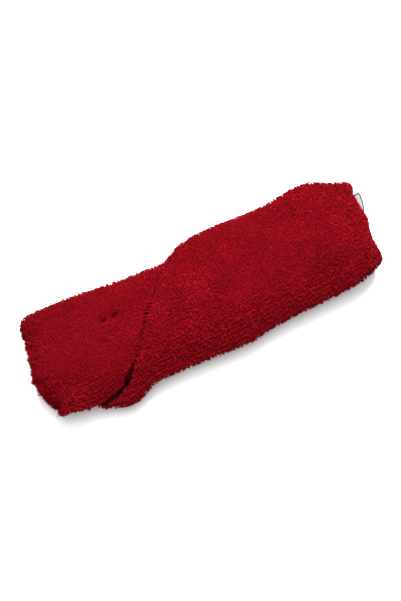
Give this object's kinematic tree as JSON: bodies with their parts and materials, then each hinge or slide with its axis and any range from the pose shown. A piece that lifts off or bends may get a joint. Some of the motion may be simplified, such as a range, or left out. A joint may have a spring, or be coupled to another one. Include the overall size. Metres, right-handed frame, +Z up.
{
  "type": "sports headband",
  "caption": "Elastic towelling sports headband, lying flat as a closed loop with a slanting lap seam and a small folded care label.",
  "frame": {"origin": "middle of the underside of the flat-lying band, where it rests on a table", "axes": "+X along the band from the shaggy left fold to the fold with the care label, +Y across the band, away from the side where the lap seam's corner stands open, +Z up from the back run to the front run"},
  "size_m": [0.188, 0.066, 0.0196],
  "materials": {
    "terry": "looped towelling pile, matt",
    "elastic": "woven ribbed elastic",
    "thread": "twisted polyester thread",
    "label": "woven satin ribbon"
  },
  "bodies": {
    "back": {"back_cover": "terry", "left_fold_cover": "terry", "right_fold_cover": "terry", "left_bend_cover": "terry", "right_bend_cover": "terry", "back_elastic": "elastic", "left_fold_elastic": "elastic", "right_fold_elastic": "elastic", "left_bend_elastic": "elastic", "right_bend_elastic": "elastic", "back_closing_seam": "thread", "label_tab": "label", "label_stitches": "thread"},
    "front": {"front_left_cover": "terry", "front_right_cover": "terry", "front_left_elastic": "elastic", "front_right_elastic": "elastic", "elastic_join_stitches": "thread", "front_closing_seam": "thread", "lap_stitches": "thread"},
    "label": {"care_label": "label"}
  },
  "joints": [
    {"name": "loop_open", "type": "slide", "parent": "back", "child": "front", "axis": [0, 0, 1], "range_m": [0, 0.03], "stiffness_N_per_m": 20, "deforming": ["left_bend_cover", "left_bend_elastic", "right_bend_cover", "right_bend_elastic"]},
    {"name": "label_flap", "type": "hinge", "parent": "back", "child": "label", "pos_m": [0.0914, 0.0155, 0.0092], "axis": [0, 1, 0], "range_deg": [-50, 50], "stiffness_Nm_per_rad": 0.000005}
  ]
}
